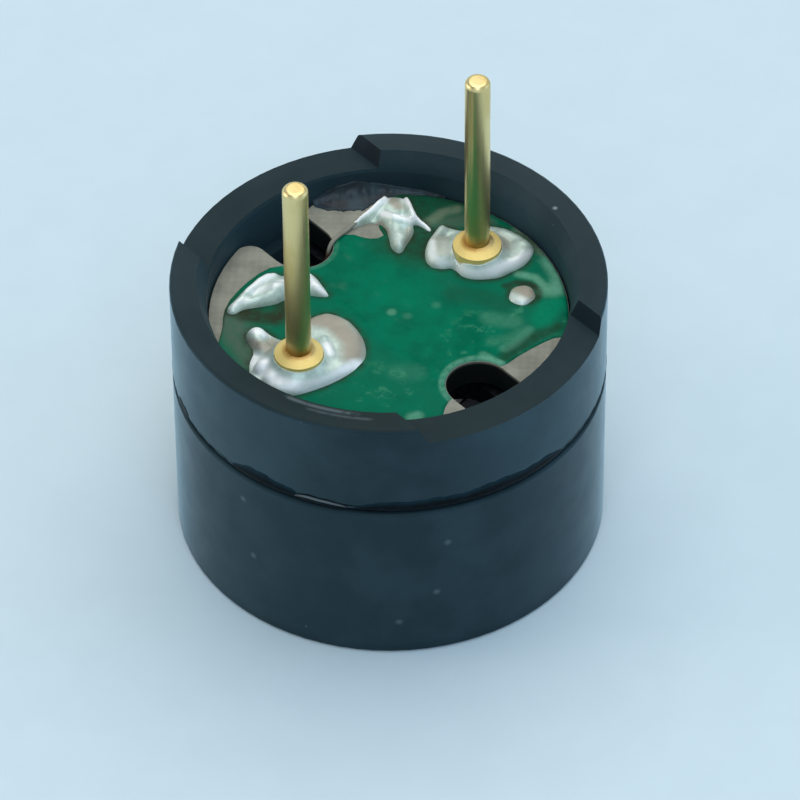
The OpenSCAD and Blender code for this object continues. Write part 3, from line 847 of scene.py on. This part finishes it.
COIL_RIGHT = [
    (1.52, 3.3), (1.62, 3.4), (1.9, 3.38), (2.3, 3.44), (2.6, 3.5), (2.95, 3.52), (3.25, 3.28),
    (3.38, 3.02), (3.3, 2.75), (3.16, 2.4), (3.16, 2.0), (3.1, 1.72), (3.0, 1.75), (2.96, 2.05),
    (2.85, 2.2), (2.68, 2.0), (2.4, 1.83), (2.1, 1.7), (1.88, 1.6), (1.78, 1.68), (1.8, 1.95),
    (2.0, 2.3), (2.16, 2.6), (2.16, 2.9), (2.05, 3.12), (1.8, 3.2)
]

joint_piece("solder_joint_left", -PIN_X, JOINT_LEFT, LEFT_JOINT_LAYERS, "pin_solder_left", 3.0)
joint_piece("solder_joint_right", PIN_X, JOINT_RIGHT, RIGHT_JOINT_LAYERS, "pin_solder_right", 7.0)
coil_piece("solder_coil_left", COIL_LEFT, LEFT_COIL_LAYERS, "coil_solder_left", 11.0)
coil_piece("solder_coil_right", COIL_RIGHT, RIGHT_COIL_LAYERS, "coil_solder_right", 17.0, 0.14)


# ------------ coil ends

WIRE_R = 0.06               # mm
WIRE_SIDES = 12
WIRE_STEPS = 6              # rings of vertices between two points of a route
# Routes of the coil ends, x y z in mm: up through the notch, mirrored on the left,
WIRE_RISE = [(0.3, 2.46, 4.6), (0.3, 2.46, 5.2), (0.3, 2.6, 5.4), (0.3, 2.6, 6.15), (0.36, 3.05, 6.5),
             (0.5, 3.12, 7.0)]
# and then low over the board
WIRE_RIGHT = [(0.66, 3.17, 7.21), (0.9, 3.22, 7.25), (1.3, 3.27, 7.24), (1.75, 3.32, 7.28)]
WIRE_LEFT = [(-0.66, 3.16, 7.21), (-0.86, 3.1, 7.25), (-1.15, 2.95, 7.25)]


def smooth_path(points, steps):
    """An open curve through the points, with that many steps between them."""
    p = [Vector(q) for q in points]
    p = [p[0], *p, p[-1]]
    done = [spline(*p[i:i + 4], k / steps) for i in range(len(p) - 3) for k in range(steps)]
    return done + [p[-1]]


def wire_piece(name, route, node):
    """A round wire along the route."""
    path = smooth_path(route, WIRE_STEPS)
    verts = []
    across = Vector((0.5, -1, 0.3))
    for i, point in enumerate(path):
        way = (path[min(i + 1, len(path) - 1)] - path[max(i - 1, 0)]).normalized()
        u = way.cross(across).normalized()
        v = way.cross(u)
        for k in range(WIRE_SIDES):
            t = 2 * pi * k / WIRE_SIDES
            verts.append(point + WIRE_R * (cos(t) * u + sin(t) * v))
    piece = make_object(name, verts, flipped(tube(len(path), WIRE_SIDES)), "enamelled_wire")
    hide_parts(node)


wire_piece("coil_end_left", [(-x, y, z) for x, y, z in WIRE_RISE] + WIRE_LEFT, "coil_lead_left")
wire_piece("coil_end_right", WIRE_RISE + WIRE_RIGHT, "coil_lead_right")


# ------------ plated hole

VIA = (3.29, -1.9)          # mm
VIA_R = 0.33                # mm
VIA_LEAN = 0.08             # mm, how far the dome sits to one side
# Section of the solder in the hole: radius, and height over the board
VIA_PROFILE = [(VIA_R, -0.8), (VIA_R, 0.0), (0.38, 0.03), (0.365, 0.05), (0.33, 0.09), (0.27, 0.13),
               (0.18, 0.155), (0.09, 0.165)]


def via_piece():
    """Solder dome that fills the plated hole."""
    steps = ROUND_STEPS
    verts = []
    for r, up in VIA_PROFILE:
        for i in range(steps):
            t = 2 * pi * i / steps
            swell = 1 + 0.06 * sin(2 * t + 0.6) + 0.03 * sin(5 * t) if up > 0 else 1
            x = VIA[0] - (VIA_LEAN if up > 0 else 0) + r * swell * cos(t)
            verts.append((x, VIA[1] + r * swell * sin(t), BOARD_TOP + up))
    rows = len(VIA_PROFILE)
    verts.append((*VIA, BOARD_TOP + VIA_PROFILE[0][1]))
    verts.append((VIA[0] - VIA_LEAN, VIA[1], BOARD_TOP + VIA_PROFILE[-1][1] + 0.005))
    low, top = len(verts) - 2, len(verts) - 1
    last = (rows - 1) * steps
    faces = flipped(tube(rows, steps)[:-2])
    for i in range(steps):
        n = (i + 1) % steps
        faces += [(low, n, i), (top, last + i, last + n)]
    piece = make_object("solder_via", verts, faces, "solder")
    paint(piece, SOLDER_FINISHES)
    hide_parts("via_solder")


via_piece()


# ------------ solder mask

BOARD_R = 4.95              # mm
MASK_INSET = 0.012          # mm, from the board's edge
MASK_SPACING = 0.12         # mm, between vertices on its outline
MASK_STEP = 0.065           # mm, between vertices inside it
NOTCH_HALF = 0.9            # mm, half a notch's width
NOTCH_CENTRE = 2.8 + NOTCH_HALF     # mm, of its round end; it reaches in to 2.8
MASK_T = 0.025              # mm, thickness of the mask over bare laminate
COPPER_T = 0.02             # mm, how far copper lifts the mask
FLUX_REACH = 0.22           # mm, of the flux residue round the solder
VIA_RIM = 0.42              # mm, radius from which the flux of the plated hole spreads


def arc_points(centre, radius, start, end, steps):
    """Points on an arc between two azimuths in degrees."""
    turns = np.radians(np.linspace(start, end, steps))
    return [(centre[0] + radius * cos(t), centre[1] + radius * sin(t)) for t in turns]


def mask_outline():
    """The mask's edge: the board's rim and notches, less the strips of bare laminate."""
    rim = BOARD_R - MASK_INSET
    notch = NOTCH_HALF + MASK_INSET
    return (
        arc_points((0, -NOTCH_CENTRE), notch, 8, 176, 30)
        + [(-1.05, -3.66), (-1.3, -3.78), (-1.55, -3.98)]
        + arc_points((0, 0), rim, 250, 155, 54)
        + [(-4.2, 2.28), (-3.98, 2.45), (-3.74, 2.66), (-3.5, 2.92), (-3.25, 3.14), (-2.89, 3.34)]
        + [(-2.4, 3.5), (-2.0, 3.58), (-1.6, 3.62), (-1.25, 3.6), (-0.93, 3.45)]
        + arc_points((0, NOTCH_CENTRE), notch, -144, -36, 22)
        + [(0.93, 3.3), (1.2, 3.24), (1.4, 3.08), (1.5, 2.85), (1.62, 2.66), (1.8, 2.52), (2.0, 2.5)]
        + [(2.1, 2.8), (2.3, 3.1), (2.7, 3.5)]
        + arc_points((0, 0), rim, 52, -52, 60)
        + [(2.75, -3.72), (2.45, -3.66), (2.0, -3.62), (1.5, -3.6), (1.1, -3.62)]
    )


def copper(points):
    """Where copper lies below the mask: 1 over it, 0 beside it."""
    def step(value, soft=0.14):
        t = np.clip(value / soft + 0.5, 0, 1)
        return t * t * (3 - 2 * t)
    x, y = points[:, 0], points[:, 1]
    from_via = np.hypot(x - VIA[0], y - VIA[1])
    left = step(-0.75 - x + 0.12 * np.sin(2.2 * y)) * step(y + 2.9)
    right = step(x - 1.75 + 0.12 * np.sin(1.7 * y + 1)) * step(y + 3.05)
    ring = step(0.3 - np.abs(np.hypot(x, y + NOTCH_CENTRE) - NOTCH_HALF - 0.28))
    track = step(0.16 - np.abs(y + 3.05)) * step(x - 1.0)
    pad = step(0.74 - from_via)
    bore = step(0.52 - from_via, 0.1)
    return np.maximum.reduce([left, right * 0.9, ring * 0.8, track, pad * 1.5]) - 0.9 * bore


def mask_height(points, distance):
    """Height of the mask over the laminate, rounded off at its edges."""
    body = MASK_T + COPPER_T * copper(points) + 0.006 * rumple(points, 0.9, 23.0, 2)
    return np.maximum(body, 0.008) * lip(distance, 0.05)


def step_loop(points, spacing):
    """The closed outline with straight sides cut to that length."""
    p = np.array(points, float)
    dense = []
    for a, b in zip(p, np.roll(p, -1, axis=0)):
        steps = max(1, int(np.linalg.norm(b - a) / spacing))
        dense += [a + (b - a) * i / steps for i in range(steps)]
    return np.array(dense)


# Tints of the mask, with painted shade, a painted shadow and painted highlights: width, share, route
MASK_STROKES = {"shade": [
    (0.8, 0.95, (2.72, 1.63), (2.31, 1.4)),
    (1.0, 0.85, (3.72, 2.54), (4.3, 2.43), (4.03, 1.96)),
    (0.8, 0.95, (3.42, 2.51), (3.66, 3.4)),
    (0.6, 0.5, (1.7, 2.4), (1.9, 1.4), (2.2, 1.0)),
    (0.17, 1.0, (3.15, -1.27), (3.46, -1.37), (3.69, -1.62), (3.73, -1.97), (3.54, -2.16),
     (3.31, -2.2)),
    (0.3, 0.85, (1.26, -3.37), (1.91, -3.33), (2.51, -3.34), (3.11, -3.43)),
    (0.5, 0.35, (1.9, -0.6), (2.4, -1.2), (2.6, -1.8)),
], "residue": [
    (0.75, 1.0, (-3.44, 2.83), (-3.6, 2.26), (-3.72, 1.65), (-3.9, 1.1)),
    (0.4, 0.7, (3.5, 1.75), (4.2, 1.45), (4.5, 1.0)),
    (0.4, 0.8, (-4.3, 0.6), (-4.35, -0.2)),
# Painted shadow between the left coil's solder and the left joint
], "painted_shadow": [
    (0.44, 0.95, (-2.95, 2.62), (-2.7, 2.26), (-2.43, 1.95), (-2.03, 2.04)),
], "fresh": [
    (0.5, 1.0, (3.75, -2.75), (3.5, -2.7), (3.0, -2.95)),
    (0.8, 0.4, (0.6, 0.6), (1.0, -0.2)),
], "halo": [
    (0.26, 0.9, (3.26, 2.06), (3.82, 2.11), (4.24, 1.95)),
    (0.26, 0.8, (4.91, 0.15), (4.93, -0.39), (4.83, -0.93)),
# Pale wisps, and painted highlights along the mask's edge by the board's rim and the front notch
], "pale": [
    (0.2, 0.8, (3.74, -1.16), (3.99, -1.57), (3.95, -2.03), (4.02, -2.22)),
    (0.4, 0.85, (4.75, -1.35), (4.55, -1.95), (4.2, -2.35), (3.89, -2.16)),
    (0.4, 0.26, (1.97, -1.96), (2.17, -2.28), (2.36, -2.49)),
    (0.3, 0.18, (2.28, -2.91), (1.88, -2.95), (1.42, -2.71)),
    (0.26, 0.35, (1.49, -3.11), (1.85, -3.12), (2.43, -3.0)),
    (0.2, 0.6, (0.86, -2.93), (0.95, -3.44), (0.94, -4.05)),
    (0.25, 0.7, (-2.2, -3.45), (-2.05, -3.5)),
    (0.5, 0.14, (-1.3, -1.9), (-1.0, -2.2)),
]}


def mark_flux(piece):
    """Flux residue on the mask: 1 at the edge of the solder, gone after FLUX_REACH."""
    spots = vertices(piece)[:, :2]
    outlines = (JOINT_LEFT, JOINT_RIGHT, COIL_LEFT, COIL_RIGHT, round_hole(*VIA, VIA_RIM))
    reach = np.min([loop_distance(spots, smooth_loop(each, 0.1)) for each in outlines], axis=0)
    store(piece, "flux", np.clip(1 - reach / FLUX_REACH, 0, 1) ** 1.5)


mask_loop = step_loop(mask_outline(), MASK_SPACING)
mask = sheet("solder_mask", mask_loop, mask_height, MASK_STEP, "board", SOLDER_MASK, rims=(0.03,))
mark_flux(mask)
paint(mask, MASK_STROKES)


# ------------ seam

SEAM_Z = 5.35
SEAM_TOP = 5.5
SEAM_FRONT = 235            # degrees from +X, where the bead stands highest
SEAM_R = 5.2                # mm, inner radius of the bead
SEAM_STEPS = 360
EDGE_R = 0.1                # mm, of the rounded edge above the joint
SMEAR_FOOT = SEAM_TOP - 0.02
SMEAR_LEVELS = 10
# Smears up from the joint: azimuths in degrees from +X, height, thickness of the upper edge
SMEARS = [
    (183, 205, 0.36, 0.0),
    (203, 218, 0.24, 0.035),
    (219, 281, 0.38, 0.0),
    (154, 163, 0.22, 0.0),
    (30, 52, 0.2, 0.0),
]


def wall_r(z):
    """Radius of the base ring's wall near its lower rounded edge."""
    if z >= SEAM_TOP + EDGE_R:
        return WALL_R
    up = max(0.0, z - SEAM_TOP)
    return WALL_R - EDGE_R + sqrt(max(0.0, EDGE_R ** 2 - (EDGE_R - up) ** 2))


def seam_bead():
    """The bead in the joint, with an uneven outer face, and its smears."""
    verts = []
    for i in range(SEAM_STEPS):
        t = 2 * pi * i / SEAM_STEPS
        swell = 0.035 * lumps(4 * cos(t), 4 * sin(t), 1.3)
        creep = 0.03 * lumps(7 * cos(t), 7 * sin(t), 4.1)
        front = max(0.0, cos(t - radians(SEAM_FRONT)))
        top = SEAM_TOP + 0.06 + 0.1 * front + creep
        line = [
            (SEAM_R, SEAM_Z), (5.85 + swell, SEAM_Z + 0.002), (5.88 + swell, SEAM_Z + 0.06),
            (5.9 + swell, SEAM_TOP - 0.03), (wall_r(SEAM_TOP + 0.02) + 0.012, SEAM_TOP + 0.02),
            (wall_r(top) + 0.006, top), (wall_r(top) - 0.03, top - 0.01), (5.85, SEAM_TOP - 0.02),
            (SEAM_R, SEAM_TOP)
        ]
        verts += [around(r, t, z) for r, z in line]
    faces = tube(SEAM_STEPS, len(line), closed=True)
    thin = [0.0] * len(verts)
    painted_glint = [0.0] * len(verts)
    for smear in SMEARS:
        add_smear(verts, faces, thin, painted_glint, *smear)
    piece = make_object("seam_bead", verts, faces, "adhesive")
    store(piece, "thin", thin)
    store(piece, "painted_glint", painted_glint)
    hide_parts("seam_adhesive")


def add_smear(verts, faces, thin, painted_glint, start, end, rise, ledge):
    """A film of adhesive up the wall, thin at its ragged upper edge."""
    base = len(verts)
    columns = int((end - start) * 2)
    levels = SMEAR_LEVELS
    for i in range(columns + 1):
        share = i / columns
        t = radians(start + (end - start) * share)
        fade = sqrt(max(0.0, 1 - abs(2 * share - 1) ** 3))
        ragged = 1 + 0.3 * lumps(start, share * (end - start) / 9, 0.5, 2, 1.0)
        top = SEAM_TOP + 0.03 + rise * fade * max(0.15, ragged)
        for j in range(levels):
            up = j / (levels - 1)
            z = SMEAR_FOOT + (top - SMEAR_FOOT) * up
            thick = 0.004 + 0.032 * (1 - up) * fade + ledge * sin(pi * up) * fade
            thick = thick if j < levels - 1 else -0.004
            verts.append(around(wall_r(z) + thick, t, z))
            thin.append(min(1.0, max(0.0, 2.6 * up - 1.5)) if not ledge else 0.0)
            # Painted highlight: a pale streak along the ledge of a smear that has one
            painted_glint.append(0.5 * fade * max(0.0, 1 - abs(up - 0.72) / 0.16) if ledge else 0.0)
        for j in range(levels):
            z = top + (SMEAR_FOOT - top) * j / (levels - 1)
            verts.append(around(wall_r(z) - 0.03, t, z))
        thin += [0.0] * levels
        painted_glint += [0.0] * levels
    faces += tube(columns + 1, 2 * levels, base)


seam_bead()


# ------------ adhesive in the pocket

POCKET_R = 4.99
POCKET_STEPS = 89           # sections along the adhesive
POCKET_ARC = 10             # vertices on the rounded side of a section
# Upper edge of the adhesive on the wall: azimuth in degrees, height over the board in mm
CREEP = [(30, 0.02), (38, 0.12), (46, 0.2), (54, 0.36), (60, 0.5), (66, 0.42), (71, 0.24), (74, 0.08)]
# Its inner edge on the board: azimuth, distance from the wall
SPREAD = [(30, 0.05), (38, 0.16), (46, 0.24), (54, 0.5), (60, 0.7), (66, 0.62), (71, 0.4), (74, 0.14)]


def pocket_adhesive():
    """Adhesive that crept over the board's edge and up the wall."""
    turns = np.linspace(CREEP[0][0], CREEP[-1][0], POCKET_STEPS)
    rise = np.interp(turns, *zip(*CREEP))
    inward = np.interp(turns, *zip(*SPREAD))
    verts = []
    for turn, high, wide in zip(turns, rise, inward):
        high *= 1 + 0.12 * lumps(turn / 4, 3.1, 0.0)
        wide *= 1 + 0.15 * lumps(turn / 3, 8.7, 0.0)
        line = [(POCKET_R, BOARD_TOP)]
        for k in range(POCKET_ARC + 1):
            a = pi / 2 * k / POCKET_ARC
            swell = 0.02 * lumps(turn / 3, k / 2.5, 5.0, 3)
            r = POCKET_R - wide * (1 - cos(a)) - swell * sin(2 * a) - 0.01
            z = BOARD_TOP + 0.028 + high * (1 - sin(a)) + swell * sin(2 * a)
            line.append((r, z))
        line.append((line[-1][0], BOARD_TOP))
        line[1] = (POCKET_R, line[1][1])
        verts += [around(r, radians(turn), z) for r, z in line]
    faces = flipped(tube(POCKET_STEPS, len(line)))
    piece = make_object("pocket_adhesive", verts, faces, "adhesive", POCKET_ADHESIVE)
    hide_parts("board_adhesive")


pocket_adhesive()


# ------------ studio

FLOOR_COLOURS = (srgb(206, 225, 233), srgb(204, 223, 231))
FLOOR_HALF = 2.0            # m, half the floor's width
FLOOR_DROP = 0.02           # mm, below the part
WORLD_COLOUR = srgb(217, 232, 242)
WORLD_RISE = (0.1, 0.6)     # sine of the elevation where the room starts to dim and is dimmest
WORLD_LIGHT = (1.04, 0.38)  # strength of its light there
# Colours of the lights: above, in front, on the left, on the right
WARM = srgb(255, 249, 242)[:3]
COOL = srgb(216, 234, 255)[:3]
AMBER = srgb(255, 232, 206)[:3]
SKY = srgb(176, 214, 255)[:3]
LIGHTS_AIM = Vector((0, 0, 5))  # mm


def make_floor():
    """The pale surface that the buzzer stands on."""
    half = FLOOR_HALF
    mesh = bpy.data.meshes.new("floor")
    corners = [(-half, -half, 0), (half, -half, 0), (half, half, 0), (-half, half, 0)]
    mesh.from_pydata(corners, [], [(0, 1, 2, 3)])
    floor = add("floor", mesh)
    floor.location.z = -FLOOR_DROP * MM
    s = Shader("floor", Roughness=0.8, Specular_IOR_Level=0.2)
    s.set(Base_Color=s.mix(s.ramp(s.noise(0.6, 3), 0.3, 0.7), *FLOOR_COLOURS))
    mesh.materials.append(s.material)


def make_world():
    """A pale room, dimmer overhead."""
    world = bpy.data.worlds.new("studio")
    world.use_nodes = True
    tree = world.node_tree
    background = tree.nodes["Background"]
    background.inputs["Color"].default_value = WORLD_COLOUR
    where = tree.nodes.new("ShaderNodeTexCoord")
    split = tree.nodes.new("ShaderNodeSeparateXYZ")
    rise = tree.nodes.new("ShaderNodeMapRange")
    tree.links.new(where.outputs["Generated"], split.inputs[0])
    tree.links.new(split.outputs["Z"], rise.inputs[0])
    for index, value in enumerate(WORLD_RISE + WORLD_LIGHT):
        rise.inputs[index + 1].default_value = value
    tree.links.new(rise.outputs[0], background.inputs["Strength"])
    bpy.context.scene.world = world


def area_light(name, place, size, watts, colour):
    """A round soft light turned to the buzzer; place and size in mm."""
    data = bpy.data.lights.new(name, "AREA")
    data.shape = "DISK"
    data.size = size * MM
    data.energy = watts
    data.color = colour
    light = add(name, data)
    light.location = Vector(place) * MM
    light.rotation_euler = (LIGHTS_AIM - Vector(place)).to_track_quat("-Z", "Y").to_euler()


make_floor()
make_world()
area_light("top_softbox", (70, 56, 255), 300, 0.42, WARM)
area_light("front_softbox", (-95, -120, 205), 160, 0.2, COOL)
area_light("left_card", (-200, 175, 60), 160, 0.2, AMBER)
area_light("right_card", (190, -165, 100), 180, 0.1, SKY)

bpy.context.scene.view_settings.view_transform = "Standard"
